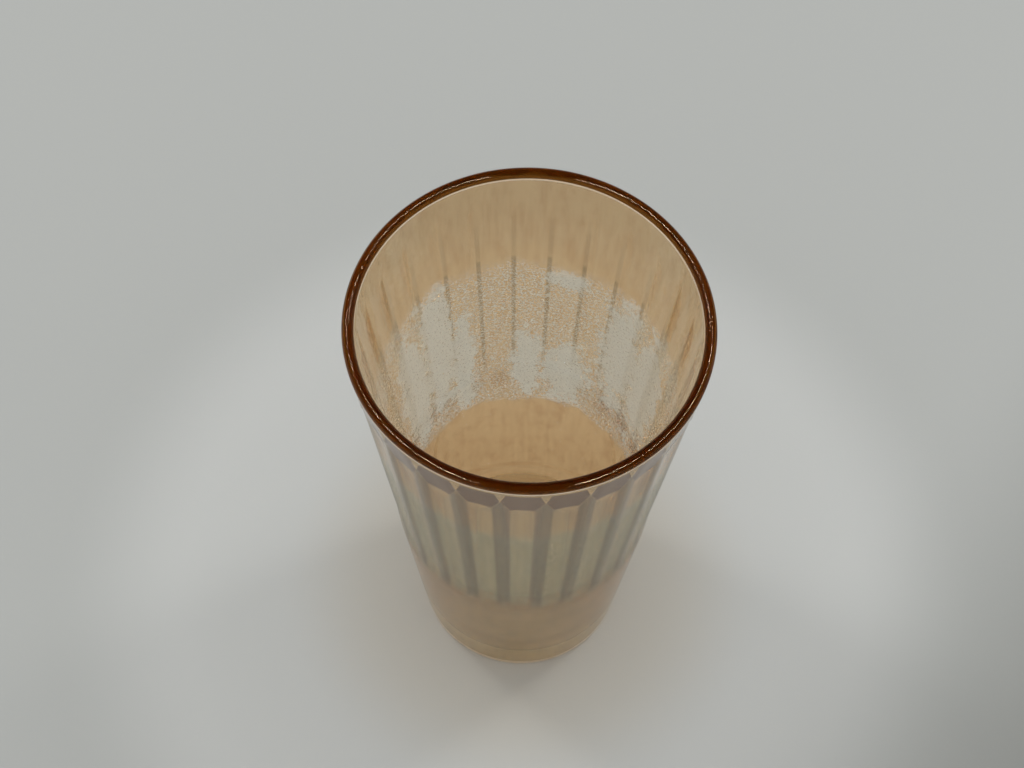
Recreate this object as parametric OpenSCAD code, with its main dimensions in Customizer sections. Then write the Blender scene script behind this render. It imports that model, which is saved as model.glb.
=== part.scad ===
// Panelled tumbler for chai: one tapered pressing of tinted glass with flat
// panels round its outside, a fire-polished lip, a thick foot and a lustre
// coat on the outer face. The foot stands on the plane z = 0 and the axis of
// the glass is the Z axis. All lengths are in millimetres.

/* [Overall size] */
// Outside diameter just under the rounding of the lip
rim_d = 70; // [60:1:84]
// Outside diameter of the wall line where it reaches the table
foot_d = 46.4; // [38:0.2:54]
// Height from the table to the top of the lip
height = 124; // [100:1:150]

/* [Wall and foot] */
// Thickness of the wall at the lip
lip_t = 2.3; // [1.8:0.1:3.2]
// Thickness of the wall where it meets the floor of the bowl
low_wall_t = 3; // [2.2:0.1:4.5]
// Thickness of glass under the bowl
floor_t = 9; // [5:0.5:14]
// Radius of the rounded corner inside the bowl
bowl_corner_r = 6; // [3:0.5:9]
// Radius of the rounded outer edge of the foot
heel_r = 2.5; // [1.5:0.5:5]
// Height of the straight band between the lip's rounding and the coated wall
lip_band_h = 0.25; // [0.1:0.05:1]
// Width of the flat ring under the foot that carries the glass
foot_ring_w = 6; // [3:0.5:10]
// Depth of the hollow under the foot
punt_h = 1.2; // [0.5:0.1:2]

/* [Panels] */
// Number of flat panels round the wall
panel_count = 26; // [16:1:36]
// Height of the round band between the lip ring and the crowns of the panels
crown_gap = 0.5; // [0.3:0.1:6]
// Length of the shoulder that closes each panel at its top
top_shoulder_l = 7.3; // [3:0.1:12]
// Height above the table at which the panels run out
panel_foot_z = 48; // [30:1:60]
// Length of the shoulder that closes each panel at its foot
foot_shoulder_l = 4; // [2:0.5:8]
// Depth of the ridges between panels below the round wall
ridge_sink = 0.06; // [0.04:0.01:0.3]

/* [Lustre coat] */
// Thickness that stands for the fired lustre film
coat_t = 0.2; // [0.15:0.01:0.4]
// Height of the bare band between the heel's rounding and the lustre
bare_heel_h = 1.5; // [0.5:0.1:2]
// Distance from the top of the lip down to where the upper amber meets the pearl
amber_drop = 24; // [21:0.5:30]

/* [Hidden] */

// Fineness of round surfaces
$fn = 128;

rim_r = rim_d / 2;
foot_r = foot_d / 2;
lip_r = lip_t / 2;
lip_z = height - lip_r;
lip_ring_z = lip_z - lip_band_h;
coat_foot_z = heel_r + bare_heel_h;
pearl_top_z = height - amber_drop;

// How far a cutting shape runs past what it cuts
overrun = lip_t;
// Height of the round band between the panels and the plain wall's joint
joint_gap = foot_shoulder_l / 4;
joint_z = panel_foot_z - joint_gap;

// The wall line leans out by this angle, and meets the rounding of the lip
taper = atan2(rim_r - foot_r, lip_z);
lip_x = rim_r - lip_r / cos(taper);

// The inner wall line runs from the mouth down to the floor of the bowl
mouth_r = lip_x - lip_r;
bowl_r = foot_r + floor_t * tan(taper) - low_wall_t;
bowl_taper = atan2(mouth_r - bowl_r, lip_z - floor_t);
bowl_corner_z = floor_t + bowl_corner_r;
bowl_corner_x = bowl_r + bowl_corner_r * tan(bowl_taper) - bowl_corner_r / cos(bowl_taper);

heel_x = foot_r + heel_r * tan(taper) - heel_r / cos(taper);
// The hollow under the foot is a shallow dome inside the carrying ring
punt_r = heel_x - foot_ring_w;
punt_dome_r = (punt_r * punt_r + punt_h * punt_h) / (2 * punt_h);

// Half the angle that one panel takes round the wall
half_panel = 180 / panel_count;
panel_top_z = lip_ring_z - crown_gap;
// The shoulders are barrel shaped, half as curved as the round wall
barrel_r_share = 2;

// Radius of the outer wall line at height z, less an inset
function wall_r(z, inset) = foot_r + z * tan(taper) - inset;

// Distance from the axis to the middle of a flat panel at height z
function flat_r(z, inset) = (foot_r + z * tan(taper)) * cos(half_panel) - ridge_sink - inset;

// Radius of the inner wall line at height z
function bore_r(z) = bowl_r + (z - floor_t) * tan(bowl_taper);

// A tapered round solid between two heights, bounded by the outer wall line.
// It is turned so that the seam of its round face keeps clear of the ridges.
module wall_cone(low_z, high_z, inset) {
  translate([0, 0, low_z])
    rotate([0, 0, half_panel / 2])
      cylinder(h = high_z - low_z, r1 = wall_r(low_z, inset), r2 = wall_r(high_z, inset));
}

// A barrel whose nearest edge line runs through two points of the wall's
// section, given as [distance from the axis, height]
module shoulder_barrel(low, high) {
  barrel_r = barrel_r_share * rim_r;
  reach = norm(high - low);
  lean = atan2(high[0] - low[0], high[1] - low[1]);
  translate([low[0], 0, low[1]])
    rotate([0, lean, 0])
      translate([-barrel_r, 0, -reach])
        rotate([0, 0, 180])
          cylinder(h = 3 * reach, r = barrel_r);
}

// What one panel takes off the round wall: all that lies outside its flat,
// but for the two barrels that close it at the top and at the foot
module panel_cut(inset) {
  cut_w = 4 * rim_r * sin(half_panel);
  out_r = rim_r + overrun;
  top_flat_z = panel_top_z - top_shoulder_l;
  foot_flat_z = panel_foot_z + foot_shoulder_l;
  difference() {
    rotate([90, 0, 0])
      linear_extrude(height = cut_w, center = true)
        polygon([
          [flat_r(panel_foot_z, inset), panel_foot_z],
          [out_r, panel_foot_z],
          [out_r, panel_top_z],
          [flat_r(panel_top_z, inset), panel_top_z]
        ]);
    shoulder_barrel(
      [flat_r(top_flat_z, inset), top_flat_z],
      [wall_r(panel_top_z, inset), panel_top_z]
    );
    shoulder_barrel(
      [wall_r(panel_foot_z, inset), panel_foot_z],
      [flat_r(foot_flat_z, inset), foot_flat_z]
    );
  }
}

// The outer wall with its panels, between two heights. One panel faces -Y.
module panelled_cone(low_z, high_z, inset) {
  difference() {
    wall_cone(low_z, high_z, inset);
    for (i = [0 : panel_count - 1])
      rotate([0, 0, i * 2 * half_panel - 90])
        panel_cut(inset);
  }
}

// The space inside the glass, open at the top
module bowl_space() {
  rotate_extrude() {
    polygon([
      [0, floor_t],
      [bowl_corner_x, floor_t],
      [
        bowl_corner_x + bowl_corner_r * cos(bowl_taper),
        bowl_corner_z - bowl_corner_r * sin(bowl_taper)
      ],
      [bore_r(lip_z), lip_z],
      [bore_r(lip_z), height + overrun],
      [0, height + overrun]
    ]);
    intersection() {
      translate([bowl_corner_x, bowl_corner_z])
        circle(r = bowl_corner_r);
      translate([0, floor_t])
        square([rim_r, bowl_corner_r]);
    }
  }
}

// The shell that the lustre fills between two heights on the panelled wall
module panelled_coat(low_z, high_z) {
  difference() {
    panelled_cone(low_z, high_z, 0);
    panelled_cone(low_z, high_z, coat_t);
  }
}

// The fire-polished lip at the mouth, bare of lustre
module lip_ring() {
  color([0.27, 0.14, 0.07])
    rotate_extrude() {
      polygon([
        [bore_r(lip_ring_z), lip_ring_z],
        [wall_r(lip_ring_z, 0), lip_ring_z],
        [lip_x + lip_r * cos(taper), lip_z - lip_r * sin(taper)],
        [bore_r(lip_z), lip_z]
      ]);
      intersection() {
        translate([lip_x, lip_z])
          circle(r = lip_r);
        translate([0, lip_ring_z])
          square([rim_r, height - lip_ring_z]);
      }
    }
}

// The wall under the lip, where the panels close in rounded shoulders
module shoulder_wall() {
  color([0.66, 0.58, 0.45, 0.6])
    difference() {
      panelled_cone(pearl_top_z, lip_ring_z, coat_t);
      bowl_space();
    }
}

// The wall that carries the length of the panels and their feet
module panelled_wall() {
  color([0.66, 0.62, 0.52, 0.6])
    difference() {
      panelled_cone(joint_z, pearl_top_z, coat_t);
      bowl_space();
    }
}

// The round wall below the panels, down to the corner of the bowl
module plain_wall() {
  color([0.60, 0.54, 0.42, 0.6])
    difference() {
      wall_cone(bowl_corner_z, joint_z, coat_t);
      bowl_space();
    }
}

// The foot: the thick glass under the bowl with its rounded heel. Its wall is
// full size below the lustre and steps in under it.
module thick_foot() {
  color([0.42, 0.37, 0.27, 0.7])
    difference() {
      union() {
        rotate_extrude() {
          polygon([
            [0, 0],
            [heel_x, 0],
            [heel_x + heel_r * cos(taper), heel_r - heel_r * sin(taper)],
            [wall_r(coat_foot_z, 0), coat_foot_z],
            [0, coat_foot_z]
          ]);
          intersection() {
            translate([heel_x, heel_r])
              circle(r = heel_r);
            square([rim_r, heel_r]);
          }
        }
        wall_cone(coat_foot_z, bowl_corner_z, coat_t);
      }
      bowl_space();
      translate([0, 0, punt_h - punt_dome_r])
        sphere(r = punt_dome_r);
    }
}

// Amber lustre over the tops of the panels
module upper_lustre() {
  color([0.60, 0.53, 0.42, 0.8])
    panelled_coat(pearl_top_z, lip_ring_z);
}

// Grainy pearl lustre over the middle and foot of the panels
module pearl_lustre() {
  color([0.68, 0.70, 0.66, 0.8])
    panelled_coat(joint_z, pearl_top_z);
}

// Amber lustre round the plain wall and the foot
module lower_lustre() {
  color([0.50, 0.41, 0.28, 0.8])
    difference() {
      wall_cone(coat_foot_z, joint_z, 0);
      wall_cone(coat_foot_z, joint_z, coat_t);
    }
}

lip_ring();
shoulder_wall();
panelled_wall();
plain_wall();
thick_foot();
upper_lustre();
pearl_lustre();
lower_lustre();
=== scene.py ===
# %% [markdown]
# # A panelled chai glass with an amber lustre
# The real object is one pressing of clear glass: a tapered cup with 26
# panels round it, a rounded lip and a thick foot. A lustre is fired on its
# outside: amber at the top, grainy pearl in the middle, amber again below.
# Here the pressing is one closed mesh, so that light bends in it as it does
# in real glass, and each zone of the lustre is a thin shell under its skin.

import math

import bpy
from mathutils import Matrix, Vector


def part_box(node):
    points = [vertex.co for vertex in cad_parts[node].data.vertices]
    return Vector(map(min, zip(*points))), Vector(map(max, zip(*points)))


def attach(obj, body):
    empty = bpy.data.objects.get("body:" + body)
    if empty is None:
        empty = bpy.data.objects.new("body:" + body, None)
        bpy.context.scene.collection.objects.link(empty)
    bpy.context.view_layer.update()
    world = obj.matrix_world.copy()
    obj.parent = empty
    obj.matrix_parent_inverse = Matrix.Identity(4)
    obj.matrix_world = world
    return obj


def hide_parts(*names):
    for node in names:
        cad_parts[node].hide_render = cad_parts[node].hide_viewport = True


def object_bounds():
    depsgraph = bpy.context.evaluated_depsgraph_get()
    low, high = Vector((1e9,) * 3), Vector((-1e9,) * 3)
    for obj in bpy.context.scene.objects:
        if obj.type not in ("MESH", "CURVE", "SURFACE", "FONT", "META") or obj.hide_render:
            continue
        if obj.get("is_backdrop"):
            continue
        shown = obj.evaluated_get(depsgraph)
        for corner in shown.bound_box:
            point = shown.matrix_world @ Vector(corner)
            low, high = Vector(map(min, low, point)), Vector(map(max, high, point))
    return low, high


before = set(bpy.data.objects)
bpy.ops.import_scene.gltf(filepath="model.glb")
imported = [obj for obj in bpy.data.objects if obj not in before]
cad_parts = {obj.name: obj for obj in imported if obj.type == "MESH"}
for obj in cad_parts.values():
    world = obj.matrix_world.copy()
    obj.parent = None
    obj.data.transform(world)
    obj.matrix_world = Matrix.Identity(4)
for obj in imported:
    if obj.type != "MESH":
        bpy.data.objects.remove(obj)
cad_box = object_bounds()
mm = 0.001


def in_mm(lengths):
    """Lengths in metres as rounded millimetres, to print them."""
    return [round(length / mm, 2) for length in lengths]


print("the packed part measures", in_mm(b - a for a, b in zip(*cad_box)), "mm")

# %% [markdown]
# ## Sizes
# The heights where the finish or the form changes are read from the packed
# nodes. What a node's box can't tell, such as the wall or the panels, is
# written here once, as a maker would note it on a drawing.

# %% Heights and the outer wall line
def top_of(node):
    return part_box(node)[1].z


lip_t = 2.3 * mm
lip_r = lip_t / 2
lip_z = top_of("lip_ring") - lip_r
band_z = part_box("lip_ring")[0].z
pearl_top_z = top_of("panelled_wall")
joint_z = top_of("plain_wall")
bowl_corner_z = top_of("thick_foot")
bare_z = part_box("lower_lustre")[0].z

rim_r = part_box("lip_ring")[1].x
joint_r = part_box("lower_lustre")[1].x
slope = (rim_r - joint_r) / (lip_z - joint_z)
taper = math.atan(slope)


def wall_r(z):
    return joint_r + slope * (z - joint_z)


print("the wall leans out by", round(math.degrees(taper), 2), "degrees")

# %% The inside, the heel and the hollow under the foot
floor_z = 9 * mm
corner_r = 6 * mm
heel_r = 2.5 * mm
ring_w = 6 * mm
hollow_h = 1.2 * mm
low_wall_t = 3 * mm

lip_x = rim_r - lip_r / math.cos(taper)
mouth_r = lip_x - lip_r
bowl_r = wall_r(floor_z) - low_wall_t
bowl_slope = (mouth_r - bowl_r) / (lip_z - floor_z)
bowl_taper = math.atan(bowl_slope)
corner_x = bowl_r + bowl_slope * corner_r - corner_r / math.cos(bowl_taper)
heel_x = wall_r(heel_r) - heel_r / math.cos(taper)
hollow_r = heel_x - ring_w
dome_r = (hollow_r**2 + hollow_h**2) / (2 * hollow_h)


def bore_r(z):
    return bowl_r + bowl_slope * (z - floor_z)


print("the bowl's radius at its floor and its mouth:", in_mm((bowl_r, mouth_r)), "mm")

# %% The panels
panel_count = 26
half_panel = math.pi / panel_count
first_panel = -math.pi / 2
ridge_sink = 0.06 * mm
hollow = 0.35 * mm
panel_foot_z = joint_z + 1 * mm
panel_full_z = panel_foot_z + 10 * mm

# Each panel closes at its top in a flat facet. Its edges leave the ridges at
# one height, slant up and down over a share of the panel, and then run level.
facet_top_z = band_z - 1.1 * mm
facet_tip_z = facet_top_z - 4.1 * mm
facet_low_z = facet_tip_z - 5.1 * mm
facet_top_share = 0.25
facet_low_share = 0.45


def flat_r(z):
    return wall_r(z) * math.cos(half_panel) - ridge_sink


panel_w = 2 * flat_r(facet_low_z) * math.tan(half_panel)
print(panel_count, "panels, each", round(panel_w / mm, 1), "mm wide under its facet")

# %% [markdown]
# ## The pressing, as a lathe would turn it
# The glass could be carved from a cylinder, or built of rings. A turned form
# is simplest as one half of its section, drawn from the middle of the foot
# round the lip to the floor of the bowl, and then spun round the axis. The
# rounded corners are small spins of their own.

# %% Helpers to draw a section
def rows(low, high, count):
    """Heights from just above low up to high, evenly spaced."""
    return [low + (high - low) * i / count for i in range(1, count + 1)]


class Pen:
    """Draws a section in the XZ plane, by extruding its last vertex."""

    def __init__(self, name, x, z):
        bpy.ops.object.select_all(action="DESELECT")
        bpy.ops.mesh.primitive_plane_add(size=1 * mm, location=(x, 0, z))
        self.glass = bpy.context.object
        self.glass.name = self.glass.data.name = name
        bpy.ops.object.transform_apply(location=True)
        bpy.ops.object.mode_set(mode="EDIT")
        bpy.ops.mesh.merge(type="CENTER")
        self.at = Vector((x, 0, z))

    def line(self, x, z):
        step = Vector((x, 0, z)) - self.at
        bpy.ops.mesh.extrude_vertices_move(TRANSFORM_OT_translate={"value": step})
        self.at += step

    def arc(self, x, z, turn, steps):
        """Turns round the point x, z, from the X axis towards the Z axis."""
        bpy.ops.mesh.spin(steps=steps, angle=turn, center=(x, 0, z), axis=(0, 1, 0))
        centre = Vector((x, 0, z))
        self.at = centre + Matrix.Rotation(-turn, 3, "Y") @ (self.at - centre)


# %% Draw the foot and the outer wall
dome_steps = 12
heel_steps = 10
plain_rows = 10
panel_foot_rows = 14
panel_rows = 8
under_facet_rows = 3
facet_rows = 28

pen = Pen("pressed_glass", 0, hollow_h)
pen.arc(0, hollow_h - dome_r, -math.asin(hollow_r / dome_r), dome_steps)
pen.line(heel_x, 0)
pen.arc(heel_x, heel_r, math.pi / 2 - taper, heel_steps)

outer_heights = [bare_z]
outer_heights += rows(bare_z, joint_z, plain_rows)
outer_heights += [panel_foot_z]
outer_heights += rows(panel_foot_z, panel_full_z, panel_foot_rows)
outer_heights += rows(panel_full_z, pearl_top_z, panel_rows)
outer_heights += rows(pearl_top_z, facet_low_z, under_facet_rows)
outer_heights += rows(facet_low_z, facet_top_z, facet_rows)
outer_heights += [band_z]
for z in outer_heights:
    pen.line(wall_r(z), z)
print("the section has", len(outer_heights), "rows up the outer wall")

# %% Draw the lip and the inside
lip_steps = 24
bore_rows = 12
corner_steps = 12
floor_shares = (0.66, 0.33, 0)

pen.line(lip_x + lip_r * math.cos(taper), lip_z - lip_r * math.sin(taper))
pen.arc(lip_x, lip_z, math.pi + taper + bowl_taper, lip_steps)
tangent_z = bowl_corner_z - corner_r * math.sin(bowl_taper)
for z in reversed([tangent_z] + rows(tangent_z, lip_z - 2 * lip_r, bore_rows)):
    pen.line(bore_r(z), z)
pen.arc(corner_x, bowl_corner_z, -(math.pi / 2 + bowl_taper), corner_steps)
for share in floor_shares:
    pen.line(corner_x * share, floor_z)
print("the section ends in the middle of the bowl's floor,", in_mm(pen.at), "mm")

# %% Spin the section and close it
columns_per_panel = 16
columns = panel_count * columns_per_panel
weld = 0.01 * mm

bpy.ops.mesh.select_all(action="SELECT")
bpy.ops.mesh.spin(steps=columns, angle=2 * math.pi, center=(0, 0, 0), axis=(0, 0, 1))
bpy.ops.mesh.select_all(action="SELECT")
bpy.ops.mesh.remove_doubles(threshold=weld)
bpy.ops.mesh.normals_make_consistent(inside=False)
bpy.ops.object.mode_set(mode="OBJECT")
glass = pen.glass
print("pressed glass:", len(glass.data.vertices), "vertices,", in_mm(glass.dimensions), "mm")

# %% [markdown]
# ## Pressing the panels
# The mould pushes the round wall in to panels that are very slightly hollow,
# with rounded ridges between them. It closes each panel at its top in a small
# flat facet, and lets it fade out at its foot. Boolean cutters would make
# them too, but they leave long thin faces that catch the light. Here every
# vertex of the outer wall moves in along its own radius by a formula.

# %% The shape of a panel
ridge_share = 0.3
thinnest_facet = 0.001 * mm


def rounded(across):
    """Slows down towards a ridge, so that the ridge comes out rounded."""
    into_ridge = max(0, across - (1 - ridge_share))
    return across - into_ridge**2 / (2 * ridge_share)


def pressed_r(z, turn):
    """Radius of the pressed wall at height z, turn away from a panel's middle."""
    across = abs(turn) / half_panel
    bent = rounded(across)
    round_r = wall_r(z)
    sunk_r = flat_r(z) / math.cos(bent * half_panel) - hollow * (1 - bent**2)
    if z < panel_full_z:
        rise = (z - panel_foot_z) / (panel_full_z - panel_foot_z)
        return round_r + (sunk_r - round_r) * rise * rise * (3 - 2 * rise)
    from_ridge = 1 - across
    low = facet_tip_z + (facet_low_z - facet_tip_z) * min(1, from_ridge / facet_low_share)
    top = facet_tip_z + (facet_top_z - facet_tip_z) * min(1, from_ridge / facet_top_share)
    if z <= low:
        return sunk_r
    if z >= top or top - low < thinnest_facet:
        return round_r
    return sunk_r + (round_r - sunk_r) * (z - low) / (top - low)


print("the middle of a panel lies", in_mm([wall_r(lip_z / 2) - pressed_r(lip_z / 2, 0)]), "mm deep")

# %% Press the panels into the wall
slack = 0.1 * mm

pressed = 0
for v in glass.data.vertices:
    r = math.hypot(v.co.x, v.co.y)
    z = v.co.z
    if not panel_foot_z - slack < z < band_z - slack or r < wall_r(z) - slack:
        continue
    angle = math.atan2(v.co.y, v.co.x) - first_panel
    panel = round(angle / (2 * half_panel))
    turn = angle - panel * 2 * half_panel
    r = pressed_r(max(z, panel_foot_z), turn)
    angle = first_panel + panel * 2 * half_panel + turn
    v.co.x = r * math.cos(angle)
    v.co.y = r * math.sin(angle)
    pressed += 1
glass.data.update()
bpy.ops.object.shade_smooth()
print("pressed", pressed, "vertices and smoothed the skin")

# %% [markdown]
# ## The lustre under the skin
# The fired film is part of the wall, and tints light each time that light
# crosses it or bounces behind it. A tint on the surface alone misses the
# bounces. So each zone also has a thin closed shell just under the skin, with
# nothing but a faint absorption in it, and the skin's own colour does the rest.

# %% Take the shells from the outer wall
skin_gap = 0.02 * mm
film_t = 0.16 * mm


def faces_out(face):
    """Whether a face looks away from the axis."""
    x, y, z = face.center
    return face.normal.x * x + face.normal.y * y > 0


def lustre_shell(name, low, high):
    """A thin closed shell along the outer wall between two heights."""
    bpy.ops.object.select_all(action="DESELECT")
    glass.select_set(True)
    bpy.context.view_layer.objects.active = glass
    bpy.context.scene.tool_settings.mesh_select_mode = (False, False, True)
    bpy.ops.object.mode_set(mode="EDIT")
    bpy.ops.mesh.select_all(action="DESELECT")
    bpy.ops.object.mode_set(mode="OBJECT")
    for face in glass.data.polygons:
        face.select = faces_out(face) and low < face.center.z < high
    bpy.ops.object.mode_set(mode="EDIT")
    bpy.ops.mesh.duplicate()
    bpy.ops.mesh.separate(type="SELECTED")
    bpy.ops.object.mode_set(mode="OBJECT")
    shell = next(o for o in bpy.context.selected_objects if o is not glass)
    shell.name = shell.data.name = name

    bpy.ops.object.select_all(action="DESELECT")
    shell.select_set(True)
    bpy.context.view_layer.objects.active = shell
    bpy.ops.object.mode_set(mode="EDIT")
    bpy.ops.mesh.select_all(action="SELECT")
    bpy.ops.transform.shrink_fatten(value=-skin_gap)
    bpy.ops.object.mode_set(mode="OBJECT")
    solidify = shell.modifiers.new("film", "SOLIDIFY")
    solidify.thickness = film_t
    solidify.offset = -1
    bpy.ops.object.modifier_apply(modifier=solidify.name)
    print(name, in_mm(shell.dimensions), "mm")
    return shell


upper_lustre = lustre_shell("upper_lustre_film", pearl_top_z, band_z)
pearl_lustre = lustre_shell("pearl_lustre_film", joint_z, pearl_top_z)
lower_lustre = lustre_shell("lower_lustre_film", bare_z, joint_z)

# %% [markdown]
# ## Finishes
# Every finish here is built from nodes that read the place on the piece, so
# grain and brush marks stay at their real size in millimetres. The helpers
# below keep each recipe short: one adds a node, the others wrap the maths,
# fades and noise that all the recipes share.

# %% Helpers that add nodes
def new_material(name):
    material = bpy.data.materials.new(name)
    material.use_nodes = True
    material.node_tree.nodes.clear()
    return material, material.node_tree


def feed(tree, socket, value):
    """Links a socket to another one, or sets it to a plain value."""
    if isinstance(value, bpy.types.NodeSocket):
        tree.links.new(value, socket)
    else:
        socket.default_value = value


def add(tree, kind, settings=None, **inputs):
    """Adds a node, sets its options, and feeds its inputs by name."""
    node = tree.nodes.new(kind)
    for name, value in (settings or {}).items():
        setattr(node, name, value)
    for name, value in inputs.items():
        feed(tree, node.inputs[name.replace("_", " ")], value)
    return node


def surface(tree, shader):
    out = add(tree, "ShaderNodeOutputMaterial")
    tree.links.new(shader.outputs[0], out.inputs["Surface"])


# %% Helpers for sums, fades and colours
def calc(tree, operation, *values, clamp=False):
    node = add(tree, "ShaderNodeMath", {"operation": operation, "use_clamp": clamp})
    for socket, value in zip(node.inputs, values):
        feed(tree, socket, value)
    return node.outputs[0]


def times(tree, first, *others):
    for other in others:
        first = calc(tree, "MULTIPLY", first, other)
    return first


def centred(tree, pattern, swing):
    """Turns a pattern round one half into one that swings round zero."""
    return calc(tree, "MULTIPLY_ADD", pattern, swing, -swing / 2)


def near(tree, value, middle, reach):
    """1 where a value lies within reach of a middle, and 0 elsewhere."""
    away = calc(tree, "ABSOLUTE", calc(tree, "SUBTRACT", value, middle))
    return calc(tree, "LESS_THAN", away, reach)


def fade(tree, value, low, high, to_low=0.0, to_high=1.0):
    """Goes smoothly from to_low at low to to_high at high."""
    node = add(tree, "ShaderNodeMapRange", {"interpolation_type": "SMOOTHSTEP"})
    feed(tree, node.inputs["Value"], value)
    feed(tree, node.inputs["From Min"], low)
    feed(tree, node.inputs["From Max"], high)
    feed(tree, node.inputs["To Min"], to_low)
    feed(tree, node.inputs["To Max"], to_high)
    return node.outputs["Result"]


def between(tree, share, to_low, to_high):
    """Goes smoothly from to_low to to_high as a share goes from 0 to 1."""
    return fade(tree, share, 0.0, 1.0, to_low, to_high)


def blend(tree, share, first, second, mode="MIX"):
    """Mixes two colours."""
    node = tree.nodes.new("ShaderNodeMix")
    node.data_type = "RGBA"
    node.blend_type = mode
    feed(tree, node.inputs["Factor"], share)
    for name, colour in (("A", first), ("B", second)):
        socket = next(s for s in node.inputs if s.name == name and s.type == "RGBA")
        feed(tree, socket, colour if isinstance(colour, bpy.types.NodeSocket) else (*colour, 1))
    return next(s for s in node.outputs if s.type == "RGBA")


# %% Helpers for patterns in millimetres
def place_in_mm(tree, stretch=(1, 1, 1), shift=(0, 0, 0)):
    """The place on the piece in millimetres, stretched and shifted for a pattern."""
    place = add(tree, "ShaderNodeTexCoord").outputs["Object"]
    scale = tuple(s / mm for s in stretch)
    return add(tree, "ShaderNodeMapping", Vector=place, Location=shift, Scale=scale).outputs[0]


def length_of(tree, vector):
    node = add(tree, "ShaderNodeVectorMath", {"operation": "LENGTH"})
    tree.links.new(vector, node.inputs[0])
    return node.outputs["Value"]


def noise(tree, where, size, detail=2.0, rough=0.5):
    """Soft noise whose lumps are about size millimetres wide."""
    node = add(tree, "ShaderNodeTexNoise", Vector=where, Scale=1 / size)
    feed(tree, node.inputs["Detail"], detail)
    feed(tree, node.inputs["Roughness"], rough)
    return node.outputs["Fac"]


def bump(tree, height, distance):
    return add(tree, "ShaderNodeBump", Height=height, Distance=distance).outputs[0]


# %% [markdown]
# ## The tint in the lustre
# The film absorbs: red passes, green is held back and more of the blue is
# lost. A coloured surface could do that too, but it tints light as often as
# it meets the surface, however long its way is. The shells have no surface
# of their own, so light goes into them without bending, and the longer its
# way in them is, the deeper the amber. They are faint, as the skin has most.

# %% The tint of the film
film_passes = (0.913, 0.726, 0.392)
film_strength = 0.25
film_depth = 0.2 * mm

film, tree = new_material("lustre_film")
density = film_strength / film_depth
absorb = add(tree, "ShaderNodeVolumeAbsorption", Color=(*film_passes, 1), Density=density)
out = add(tree, "ShaderNodeOutputMaterial")
tree.links.new(absorb.outputs[0], out.inputs["Volume"])
for shell in (upper_lustre, pearl_lustre, lower_lustre):
    shell.data.materials.clear()
    shell.data.materials.append(film)
print("the film's density is", round(density), "per metre")

# %% [markdown]
# ## Where the lustre changes
# On the real glass the middle zone has white grains, thick in some patches
# and thin in others, and ragged borders above and below. That could be drawn
# on a picture, but a picture needs an unwrapped skin. Here masks do it: noise
# shifts the height up and down, and each mask fades between two heights.

# %% Where the grains gather: azimuth, height and half sizes, in degrees and mm
white_patches = (
    (133, 73, 5.0, 26),
    (121, 62, 3.0, 22),
    (75, 91, 5.0, 3),
    (91, 58, 3.5, 13),
    (72, 56, 6.0, 12),
    (47, 74, 5.5, 20),
    (28, 72, 6.0, 20),
    (150, 66, 5.0, 24),
)
patch_edge = (1.4, 0.5)


def patch_mask(tree, ragged):
    """White patches: soft ellipsoids centred on the wall, with a ragged edge."""
    total = 0.0
    for azimuth, z, half_w, half_h in white_patches:
        turn = math.radians(azimuth)
        r = wall_r(z * mm) / mm
        centre = (r * math.cos(turn), r * math.sin(turn), z)
        spread = (1 / half_w, 1 / half_w, 1 / half_h)
        shift = tuple(-c * s for c, s in zip(centre, spread))
        away = length_of(tree, place_in_mm(tree, spread, shift))
        away = calc(tree, "ADD", away, ragged)
        total = calc(tree, "MAXIMUM", fade(tree, away, *patch_edge), total)
    return total


print(len(white_patches), "white patches")

# %% The pearl zone and its grains, with heights in mm: a pair starts and ends a fade
pearl_foot = (43.0, 46.0)
pearl_head = (97.0, 90.0)
border_lump = 7
border_swing = 9.0

grain_size = 0.5
grain_stretch = (1, 1, 1.4)
grain_soft = 0.14
grain_shading = (0.30, 0.62)
grain_shade = 0.86
thin_threshold = 0.46
thick_threshold = 0.28
thin_depth = 0.7
cloud_size = 3.5
cloud_swing = 2.2


def wandering_height(tree, where, z):
    """The height up the wall, shifted by noise so that borders come out ragged."""
    ragged = noise(tree, where, border_lump, detail=3, rough=0.6)
    return calc(tree, "ADD", z, centred(tree, ragged, border_swing))


def grain_mask(tree, where, height):
    """1 where a grain is white, and 0 where the amber shows."""
    fine = noise(tree, place_in_mm(tree, grain_stretch), grain_size, detail=2.5, rough=0.6)
    cloud = noise(tree, where, cloud_size, detail=4, rough=0.65)
    patches = patch_mask(tree, centred(tree, cloud, cloud_swing))
    threshold = between(tree, patches, thin_threshold, thick_threshold)
    grain = fade(tree, fine, threshold, calc(tree, "ADD", threshold, grain_soft))
    depth = between(tree, patches, thin_depth, 1.0)
    shade = fade(tree, fine, *grain_shading, to_low=grain_shade)
    zone = times(tree, fade(tree, height, *pearl_foot), fade(tree, height, *pearl_head))
    return times(tree, grain, depth, shade, zone)


# %% [markdown]
# ## Ridges and facets
# A brown line of painted shade follows each ridge inside, where the rounded
# ridge bends the light away. Outside, the panels darken towards their ridges
# and each has a dark facet at its top: painted shade as well. The angle round
# the axis, folded back and forth once per panel, says how far from a panel's
# middle a point lies, and every mask here starts from that one number.

# %% Masks for the ridges and the facets, in mm
line_w = (0.66, 0.32)
line_foot = (54.0, 66.0)
line_head = (113.0, 104.0)
line_dims_at = (97.5, 96.5)
line_dim = 0.4
line_measured_z = 80 * mm
edge_share = (0.50, 0.68)
facet_low_fade = (-0.5, 0.4)
facet_top_fade = (-0.3, 0.4)
panel_top_fade = (-0.2, 0.2)
panel_foot_fade = 6


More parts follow.
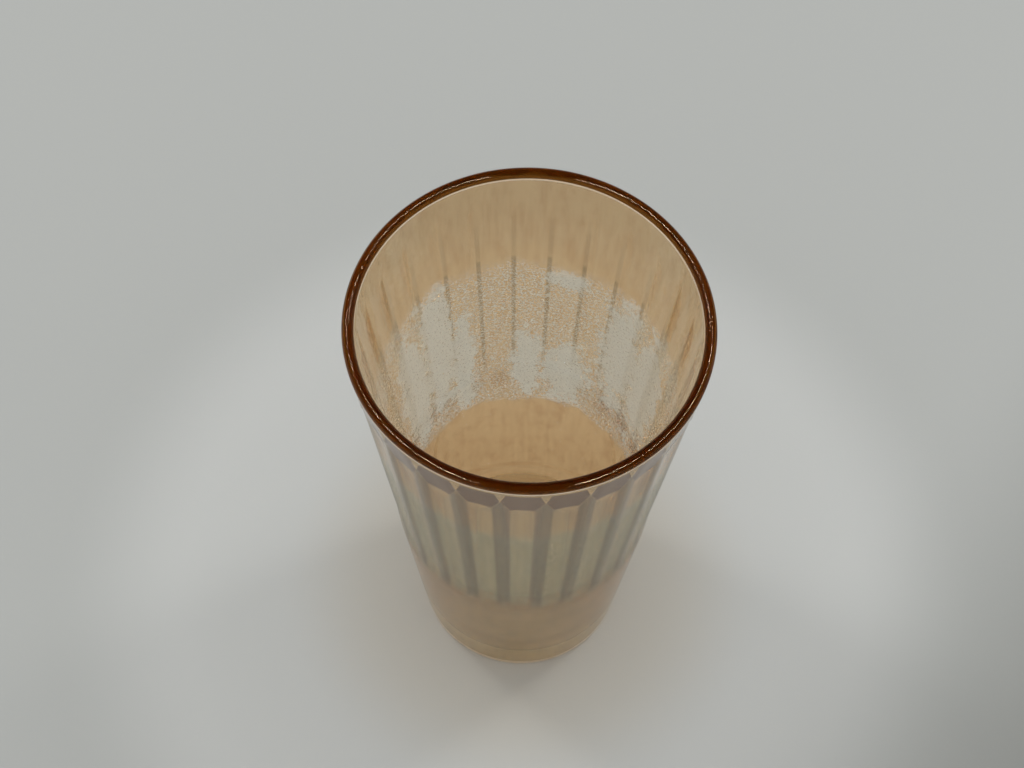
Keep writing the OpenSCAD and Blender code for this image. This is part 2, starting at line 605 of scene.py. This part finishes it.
def across_panel(tree, x, y):
    """0 in the middle of a panel and 1 on a ridge."""
    turn = calc(tree, "ARCTAN2", y, x)
    per_panel = 1 / (2 * half_panel)
    panels_round = calc(tree, "MULTIPLY_ADD", turn, per_panel, -first_panel * per_panel)
    return times(tree, calc(tree, "PINGPONG", panels_round, 0.5), 2.0)


def ridge_shade_line(tree, across, height, z):
    """A soft line of painted shade on each ridge, dimmer over the upper amber."""
    half_w = half_panel * wall_r(line_measured_z) / mm
    to_ridge = times(tree, calc(tree, "SUBTRACT", 1.0, across), half_w)
    dim = fade(tree, z, *line_dims_at, to_low=line_dim)
    ends = times(tree, dim, fade(tree, z, *line_head))
    return times(tree, fade(tree, to_ridge, *line_w), fade(tree, height, *line_foot), ends)


def facet_edge(tree, across, share, reach):
    """The height in mm of a facet's edge, which slants off the ridge and runs level."""
    from_ridge = calc(tree, "SUBTRACT", 1.0, across)
    slant = calc(tree, "MULTIPLY", from_ridge, 1 / share, clamp=True)
    return calc(tree, "MULTIPLY_ADD", slant, reach / mm, facet_tip_z / mm)


def facet_masks(tree, across, height, z):
    """One mask for the facets, and one for the sides of the panels under them, where shade is
    painted.
    """
    low = facet_edge(tree, across, facet_low_share, facet_low_z - facet_tip_z)
    top = facet_edge(tree, across, facet_top_share, facet_top_z - facet_tip_z)
    above = fade(tree, calc(tree, "SUBTRACT", z, low), *facet_low_fade)
    below = fade(tree, calc(tree, "SUBTRACT", top, z), *facet_top_fade)
    panel = fade(tree, calc(tree, "SUBTRACT", low, z), *panel_top_fade)
    foot = panel_foot_z / mm
    panel = times(tree, panel, fade(tree, height, foot, foot + panel_foot_fade))
    return times(tree, above, below), times(tree, fade(tree, across, *edge_share), panel)


# %% [markdown]
# ## The skin of the lustre
# From outside the lustre is a little hazy, and shifts from brown to a cool
# green and back, as a thin film of oil does. From inside it is clear amber,
# with white grains like frost in its middle. One mesh face has both looks, so
# the recipe asks which side of the face the light meets, and picks one.

# %% Colours of the skin, seen through the glass
amber = (0.755, 0.42, 0.165)
low_amber = (0.93, 0.49, 0.18)
low_amber_from = (45.0, 42.0)
worn_share = (0.45, 0.22, 0.10)
worn_tones = (0.5, 1.0)
grain_white = (1.0, 0.99, 0.91)
grain_frost = (1.0, 0.97, 0.88, 1)
frost_share = 0.9
# Painted shade: the brown of the lines down the ridges
ridge_shade_brown = (0.24, 0.145, 0.06)
ridge_shade_share = 0.85


def inner_look(tree, masks, tone, low_zone):
    """Amber, with white grains and lines of painted shade on the ridges."""
    clean = blend(tree, low_zone, amber, low_amber)
    worn = blend(tree, 1.0, clean, worn_share, "MULTIPLY")
    colour = blend(tree, fade(tree, tone, *worn_tones), worn, clean)
    colour = blend(tree, masks["white"], colour, grain_white)
    return blend(tree, times(tree, masks["line"], ridge_shade_share), colour, ridge_shade_brown)


# %% Colours of the skin, seen from outside
haze_brown = (0.64, 0.50, 0.23)
haze_green = (0.48, 0.50, 0.30)
haze_low_brown = (0.47, 0.37, 0.18)
green_from = (99.0, 94.0)
low_brown_from = (53.0, 49.0)
# Painted shade: the sides of the panels darken towards their ridges, and the facets are dark
edge_shadow = (0.09, 0.08, 0.045)
edge_depth = 0.75
facet_shade_brown = (0.15, 0.055, 0.0)
# Painted highlight: a pale band just under the lip, where it meets the wall
band_highlight_z_mm = (122.15, 122.3)
band_highlight_pale = (1.0, 0.88, 0.70)
haze_clear = 0.76
facet_clear = 0.05
band_highlight_clear = 0.2
black = (0.0, 0.0, 0.0)


def outer_look(tree, masks, tone):
    """A soft haze, with painted shade on the sides of the panels and on the facets, and a pale band
    of painted highlight.
    """
    colour = blend(tree, fade(tree, masks["height"], *green_from), haze_brown, haze_green)
    colour = blend(tree, fade(tree, masks["height"], *low_brown_from), colour, haze_low_brown)
    colour = blend(tree, times(tree, masks["edge"], edge_depth), colour, edge_shadow)
    colour = blend(tree, masks["facet"], colour, facet_shade_brown)
    colour = blend(tree, tone, black, colour)
    clearness = between(tree, masks["facet"], haze_clear, facet_clear)
    clearness = between(tree, masks["band"], clearness, band_highlight_clear)
    return blend(tree, masks["band"], colour, band_highlight_pale), clearness


# %% All the masks of the skin
def skin_masks(tree, where):
    x, y, z = add(tree, "ShaderNodeSeparateXYZ", Vector=where).outputs
    height = wandering_height(tree, where, z)
    across = across_panel(tree, x, y)
    facet, edge = facet_masks(tree, across, height, z)
    return {
        "height": height,
        "white": grain_mask(tree, where, height),
        "line": ridge_shade_line(tree, across, height, z),
        "edge": edge,
        "facet": facet,
        # The band is a painted highlight
        "band": fade(tree, z, *band_highlight_z_mm),
    }


# %% How uneven the tone of the skin is: sizes in mm, and the darkest tones
brush_size = 1.6
brush_stretch = (1, 1, 0.06)
brush_tones = (0.35, 0.65)
brush_darkest = 0.88
dab_size = 3.2
dab_stretch = (1, 1, 0.8)
dab_tones = (0.34, 0.56)
dab_darkest = 0.93
low_dab_darkest = 0.86
slow_size = 18
slow_tones = (0.35, 0.65)
slow_darkest = 0.94


def uneven_tone(tree, where, brush, low_zone):
    """Faint brush marks up the wall, small dabs, and slow changes round it."""
    dabs = noise(tree, place_in_mm(tree, dab_stretch), dab_size, detail=4, rough=0.65)
    slow = noise(tree, where, slow_size)
    darkest = between(tree, low_zone, dab_darkest, low_dab_darkest)
    brush_tone = fade(tree, brush, *brush_tones, to_low=brush_darkest)
    dab_tone = fade(tree, dabs, *dab_tones, to_low=darkest)
    slow_tone = fade(tree, slow, *slow_tones, to_low=slow_darkest)
    return times(tree, brush_tone, dab_tone, slow_tone)


# %% The skin's recipe: a pair of values is for amber and for white grains
glass_bend = 1.52
outer_rough = 0.12
inner_rough = (0.10, 0.20)
inner_clear = (0.97, 0.94)
relief_depth = 1 * mm
grain_relief = 0.02
brush_relief = 0.01


def lustre_skin():
    material, tree = new_material("lustre_skin")
    where = place_in_mm(tree)
    masks = skin_masks(tree, where)
    white = masks["white"]
    brush = noise(tree, place_in_mm(tree, brush_stretch), brush_size, detail=3, rough=0.6)
    low_zone = fade(tree, masks["height"], *low_amber_from)
    tone = uneven_tone(tree, where, brush, low_zone)

    inner = inner_look(tree, masks, tone, low_zone)
    outer, outer_clear = outer_look(tree, masks, tone)
    inside = add(tree, "ShaderNodeNewGeometry").outputs["Backfacing"]
    rough = between(tree, inside, outer_rough, between(tree, white, *inner_rough))
    clearness = between(tree, inside, outer_clear, between(tree, white, *inner_clear))
    relief = calc(tree, "MULTIPLY_ADD", white, grain_relief, times(tree, brush, brush_relief))
    shader = add(
        tree,
        "ShaderNodeBsdfPrincipled",
        Base_Color=blend(tree, inside, outer, inner),
        Roughness=rough,
        IOR=glass_bend,
        Transmission_Weight=clearness,
        Normal=bump(tree, relief, relief_depth),
    )

    # The grains let daylight through in all directions, like frost
    frost = add(tree, "ShaderNodeBsdfTranslucent", Color=grain_frost)
    mix = add(tree, "ShaderNodeMixShader")
    feed(tree, mix.inputs[0], times(tree, inside, white, frost_share))
    tree.links.new(shader.outputs[0], mix.inputs[1])
    tree.links.new(frost.outputs[0], mix.inputs[2])
    surface(tree, mix)
    print("the skin's recipe has", len(tree.nodes), "nodes")
    return material


# %% [markdown]
# ## Bare glass
# The inside and the underside have no lustre. Pressed glass is never quite
# even: the plunger leaves slow waves, and rubbed places are a little dull. A
# pale line is painted round just under the lip, a painted highlight where the
# light that travels in the wall comes out. The underside can't be seen; it is
# made pale and matt, painted light that lifts the shade under the foot.
# Both are one recipe with other values, as they differ only in degree.

# %% Bare glass
# The pale line under the lip is a painted highlight
lip_line_highlight_z_mm = (122.2, 122.4)
lip_line_highlight = (1.0, 0.88, 0.72)
lip_line_highlight_clear = 0.15
rubbed_size = 3.0
rubbed_from = (0.3, 0.8)
rubbed_adds = 0.05


def bare_glass(name, wave_size, wave_depth, base, roughness, clearness):
    material, tree = new_material(name)
    where = place_in_mm(tree)
    wave = noise(tree, where, wave_size)
    rubbed = noise(tree, where, rubbed_size, detail=4, rough=0.7)
    z = add(tree, "ShaderNodeSeparateXYZ", Vector=where).outputs[2]
    line = fade(tree, z, *lip_line_highlight_z_mm)
    shader = add(
        tree,
        "ShaderNodeBsdfPrincipled",
        Base_Color=blend(tree, line, base, lip_line_highlight),
        Roughness=fade(tree, rubbed, *rubbed_from, roughness, roughness + rubbed_adds),
        IOR=glass_bend,
        Transmission_Weight=between(tree, line, clearness, lip_line_highlight_clear),
        Normal=bump(tree, wave, wave_depth),
    )
    surface(tree, shader)
    print(name, "has waves", in_mm([wave_depth]), "mm deep")
    return material


clear = bare_glass(
    "clear_glass",
    wave_size=9,
    wave_depth=0.02 * mm,
    base=(1.0, 0.995, 0.98),
    roughness=0.01,
    clearness=1.0,
)
# Painted light: a pale, nearly opaque base lifts the shade under the foot
underside = bare_glass(
    "foot_underside_painted_light",
    wave_size=2,
    wave_depth=0.05 * mm,
    base=(0.95, 0.91, 0.76),
    roughness=0.5,
    clearness=0.1,
)

# %% [markdown]
# ## The lip
# The real lip looks a dark red-brown, with some olive on its inner half, and
# is gently rippled by fire polishing. Its dark comes from light lost on the
# long way down the coated wall. A tint in the wall would darken the whole
# wall, so the lip's own colour is painted shade, which light meets on its way
# in and again on its way out. The inner half is only painted darker here,
# without the olive, and what the lip reflects is tinted as well.

# %% The lip, painted dark as shade, and darker on the inner half of its rounding
lip_shade_brown = (0.11, 0.034, 0.001)
lip_inner_shade_brown = (0.065, 0.017, 0.0008)
lip_gloss = (1.0, 0.70, 0.40, 1)
lip_inner_clear = 0.985
lip_rough = 0.03
halves_meet_within = 0.25
halves_lump = 6
halves_swing = 0.6
ripple_size = 4
ripple_depth = 0.02 * mm


def lip_glass():
    material, tree = new_material("lip_glass")
    where = place_in_mm(tree)
    x, y, z = add(tree, "ShaderNodeSeparateXYZ", Vector=where).outputs
    away = calc(tree, "SQRT", calc(tree, "ADD", times(tree, x, x), times(tree, y, y)))
    uneven = centred(tree, noise(tree, where, halves_lump, detail=3), halves_swing)
    outermost = lip_x / mm + halves_meet_within
    innermost = lip_x / mm - halves_meet_within
    # Painted shade: the inner half is darker
    inner_half = fade(tree, calc(tree, "ADD", away, uneven), outermost, innermost)
    shader = add(
        tree,
        "ShaderNodeBsdfPrincipled",
        Base_Color=blend(tree, inner_half, lip_shade_brown, lip_inner_shade_brown),
        Roughness=lip_rough,
        IOR=glass_bend,
        Specular_Tint=lip_gloss,
        Transmission_Weight=between(tree, inner_half, 1.0, lip_inner_clear),
        Normal=bump(tree, noise(tree, where, ripple_size), ripple_depth),
    )
    surface(tree, shader)
    print("the halves of the lip meet about", in_mm([lip_x]), "mm from the axis")
    return material


# %% Give each face its finish
for material in (clear, lustre_skin(), lip_glass(), underside):
    glass.data.materials.append(material)
clear_slot, lustre_slot, lip_slot, underside_slot = range(len(glass.data.materials))


def slot_of(face):
    x, y, z = face.center
    if z > band_z:
        return lip_slot
    if faces_out(face) and z > bare_z:
        return lustre_slot
    if z < hollow_h + slack and math.hypot(x, y) < heel_x:
        return underside_slot
    return clear_slot


for face in glass.data.polygons:
    face.material_index = slot_of(face)
lustred = sum(face.material_index == lustre_slot for face in glass.data.polygons)
print(lustred, "of", len(glass.data.polygons), "faces have the lustre")

# %% [markdown]
# ## What each piece stands for
# The glass stands for the five glass nodes of the imported part, and each shell
# for its coat node. The nodes stay in the physics model. One mesh for the
# glass is needed because a face between two nodes would bend light where the
# real glass has nothing.

# %% Ride and replace
glass_nodes = ("lip_ring", "shoulder_wall", "panelled_wall", "plain_wall", "thick_foot")
for piece, nodes, slot in (
    (glass, glass_nodes, "wall_glass"),
    (upper_lustre, ("upper_lustre",), "amber_lustre"),
    (pearl_lustre, ("pearl_lustre",), "pearl_lustre"),
    (lower_lustre, ("lower_lustre",), "amber_lustre"),
):
    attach(piece, "root")
    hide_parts(*nodes)
    print(piece.name, "stands for", ", ".join(nodes))

# %% [markdown]
# ## The floor
# The glass stands on a sheet of matt grey card. The card could be one flat
# colour, but on the real one the light is uneven: it is paler round the
# glass, warmer near the foot and darker in one corner. Lamps could give that
# after many tries. Here the light and shade are painted into the card's tone,
# which changes slowly with the place: a painted glow round the glass, painted
# warm shade near the foot and painted shade in one corner.

# %% Tones of the card, with painted light and shade
card_grey = (0.434, 0.445, 0.429)
floor_grey = (0.422, 0.432, 0.416)
painted_glow_grey = (0.51, 0.52, 0.505)
glow_edge = (115.0, 80.0)
painted_warm_shade_grey = (0.475, 0.46, 0.415)
warm_edge = (60.0, 32.0)
painted_corner_shade_grey = (0.26, 0.265, 0.25)
corner_edge = (70.0, 170.0)
corner_lean = -0.7
fibre_pale = (0.9, 0.9, 0.9)
fibre_size = 0.6
fibre_swing = 0.03
fibre_depth = 0.02 * mm
card_rough = 0.9


def card():
    material, tree = new_material("pale_card")
    where = place_in_mm(tree)
    x, y, z = add(tree, "ShaderNodeSeparateXYZ", Vector=where).outputs
    away = length_of(tree, where)
    tone = blend(tree, fade(tree, away, *glow_edge), floor_grey, painted_glow_grey)
    tone = blend(tree, fade(tree, away, *warm_edge), tone, painted_warm_shade_grey)
    corner = calc(tree, "MULTIPLY_ADD", y, corner_lean, x)
    tone = blend(tree, fade(tree, corner, *corner_edge), tone, painted_corner_shade_grey)
    fibre = noise(tree, where, fibre_size, detail=3)
    tone = blend(tree, centred(tree, fibre, fibre_swing), tone, fibre_pale)
    matt = add(
        tree,
        "ShaderNodeBsdfPrincipled",
        Base_Color=tone,
        Roughness=card_rough,
        Specular_IOR_Level=0.0,
        Normal=bump(tree, fibre, fibre_depth),
    )
    surface(tree, matt)
    return material


# %% Lay the card under the glass
floor_size = 8
floor_gap = 0.1 * mm

bpy.ops.object.select_all(action="DESELECT")
bpy.ops.mesh.primitive_plane_add(size=floor_size, location=(0, 0, -floor_gap))
floor = bpy.context.object
floor.name = "floor"
floor.data.materials.append(card())
floor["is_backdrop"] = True
print("the floor is", floor_size, "m wide")

# %% [markdown]
# ## The light tent
# Glass shows what is round it, so the tent matters as much as the lamps: grey
# walls, a dark roof, and a row of small bright lamps along each side of the
# roof, which draw the broken line of light on the lip. Lamps that small could
# be real ones, but their light would come out of the glass as grain. Here
# they are a pattern on the sky that only the first reflection sees, and the
# card is lit by a plain even sky instead.

# %% Tones of the tent and its sky
sky_tone = (1.0, 1.0, 1.0, 1)
sky_light = 0.8
roof_tone = (0.02, 0.02, 0.02)
roof_starts = 0.05
roof_full = 0.35

# %% Which rays see the tent and its lamps
# A depth counts bounces, so half of one parts the rays before and after it
half_bounce = 0.5

world = bpy.data.worlds.new("light_tent")
bpy.context.scene.world = world
world.use_nodes = True
tree = world.node_tree
tree.nodes.clear()

path = add(tree, "ShaderNodeLightPath").outputs
by_camera = path["Is Camera Ray"]
before_floor = calc(tree, "LESS_THAN", path["Diffuse Depth"], half_bounce)
before_glass = calc(tree, "LESS_THAN", path["Transmission Depth"], half_bounce)
through_glass = calc(tree, "MAXIMUM", path["Is Glossy Ray"], path["Is Transmission Ray"])
sees_tent = calc(tree, "MAXIMUM", times(tree, through_glass, before_floor), by_camera)
sees_lamps = times(tree, path["Is Glossy Ray"], before_floor, before_glass)

# %% Places of the lamps, across and along the roof as shares of its height
least_climb = 0.01
row_offset = 0.43
row_half_w = 0.055
row_middle = -0.12
row_reach = 0.78

# The lamps stand closer towards the end of their row, so that their
# reflections on the lip come out evenly spaced: this many times the square
# root of the distance from the end. Each is lit for a share of its step.
lamp_crowding = 34.0
lamp_half_share = 0.11
lamp_glare = 60.0
lamp_tone = (1.0, 1.2, 1.7, 1)

# %% Draw the lamps and the roof on the sky
sky_place = add(tree, "ShaderNodeTexCoord").outputs["Generated"]
x, y, z = add(tree, "ShaderNodeSeparateXYZ", Vector=sky_place).outputs
climb = calc(tree, "MAXIMUM", z, least_climb)
across = calc(tree, "ABSOLUTE", calc(tree, "DIVIDE", x, climb))
along = calc(tree, "DIVIDE", y, climb)

row_end = row_middle + row_reach
from_end = calc(tree, "MAXIMUM", calc(tree, "SUBTRACT", row_end, along), 0.0)
steps = times(tree, calc(tree, "SQRT", from_end), lamp_crowding)
lamp_on = calc(tree, "LESS_THAN", calc(tree, "PINGPONG", steps, 0.5), lamp_half_share)
in_row = near(tree, across, row_offset, row_half_w)
in_reach = near(tree, along, row_middle, row_reach)
glare = times(tree, in_row, lamp_on, in_reach, sees_lamps, lamp_glare)

roof = fade(tree, z, roof_starts, roof_full)
tent = blend(tree, roof, card_grey, roof_tone)
backdrop = blend(tree, by_camera, tent, card_grey)
lamps_in_row = lamp_crowding * math.sqrt(2 * row_reach)
print("each row has about", round(lamps_in_row), "lamps")

# %% Join the sky, the tent and the lamps
even_light = add(tree, "ShaderNodeBackground", Color=sky_tone, Strength=sky_light)
tent_light = add(tree, "ShaderNodeBackground", Color=backdrop, Strength=1.0)
lamp_light = add(tree, "ShaderNodeBackground", Color=lamp_tone, Strength=glare)
mix = add(tree, "ShaderNodeMixShader")
feed(tree, mix.inputs[0], sees_tent)
tree.links.new(even_light.outputs[0], mix.inputs[1])
tree.links.new(tent_light.outputs[0], mix.inputs[2])
total = add(tree, "ShaderNodeAddShader")
tree.links.new(mix.outputs[0], total.inputs[0])
tree.links.new(lamp_light.outputs[0], total.inputs[1])
out = add(tree, "ShaderNodeOutputWorld")
tree.links.new(total.outputs[0], out.inputs["Surface"])
print("the tent's recipe has", len(tree.nodes), "nodes")

# %% [markdown]
# ## Lamps
# Two long softboxes stand behind the glass, one on each side, and lay the two
# soft shadows in front of it. A softbox is a rectangle of light: the larger
# it is, the softer the edge of the shadow. They are kept out of reflections,
# because there the rows of small lamps are seen instead.

# %% Two softboxes
softbox_w = 0.10
softbox_l = 0.60
softbox_power = 1.2
softbox_side = 0.40
softbox_back = 0.25
softbox_z = 0.70


def softbox(name, place):
    lamp = bpy.data.lights.new(name, "AREA")
    lamp.shape = "RECTANGLE"
    lamp.size = softbox_w
    lamp.size_y = softbox_l
    lamp.energy = softbox_power
    stand = bpy.data.objects.new(name, lamp)
    bpy.context.scene.collection.objects.link(stand)
    stand.location = place
    stand.visible_glossy = False
    aim = Vector((0, 0, lip_z / 2)) - Vector(place)
    stand.rotation_mode = "QUATERNION"
    stand.rotation_quaternion = aim.to_track_quat("-Z", "Y")
    print(name, "stands", round(aim.length, 2), "m away")


softbox("left_strip", (-softbox_side, softbox_back, softbox_z))
softbox("right_strip", (softbox_side, softbox_back, softbox_z))

# %% [markdown]
# ## Camera
# The camera looks down into the glass at about 60 degrees. A camera can be
# placed by eye, but here the lip is two ellipses and the wall two straight
# sides, and those fix its place, its lens and its small tilts far better.

# %% Camera: distances in metres, its lens and its film in millimetres
camera_distance = 342.04 * mm
camera_elevation = math.radians(59.9)
camera_dip = math.radians(1.899)
camera_pan = math.radians(0.476)
camera_roll = math.radians(2.094)
lens_length = 64.57
film_width = 36
nearest_seen = 0.01
farthest_seen = 100

camera = bpy.data.cameras.new("camera")
camera.lens = lens_length
camera.sensor_width = film_width
camera.clip_start = nearest_seen
camera.clip_end = farthest_seen
eye = bpy.data.objects.new("camera", camera)
bpy.context.scene.collection.objects.link(eye)
eye.location = (
    0,
    -camera_distance * math.cos(camera_elevation),
    lip_z + camera_distance * math.sin(camera_elevation),
)
turn = (
    Matrix.Rotation(math.pi / 2 - camera_elevation - camera_dip, 3, "X")
    @ Matrix.Rotation(camera_pan, 3, "Y")
    @ Matrix.Rotation(camera_roll, 3, "Z")
)
eye.rotation_mode = "QUATERNION"
eye.rotation_quaternion = turn.to_quaternion()
bpy.context.scene.camera = eye
print("the camera stands at", in_mm(eye.location), "mm")

# %% Picture settings: light needs many bounces to get through the glass
deepest_path = 24
deepest_gloss = 16

scene = bpy.context.scene
scene.view_settings.view_transform = "Standard"
scene.cycles.max_bounces = deepest_path
scene.cycles.transmission_bounces = deepest_path
scene.cycles.glossy_bounces = deepest_gloss

# %% [markdown]
# ## The box of the finished pieces
# The box of the finished pieces is printed here; the box of the imported
# part was printed at the start.

# %% The box of the finished pieces
visual_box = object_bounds()
print("the finished piece measures", in_mm(b - a for a, b in zip(*visual_box)), "mm")
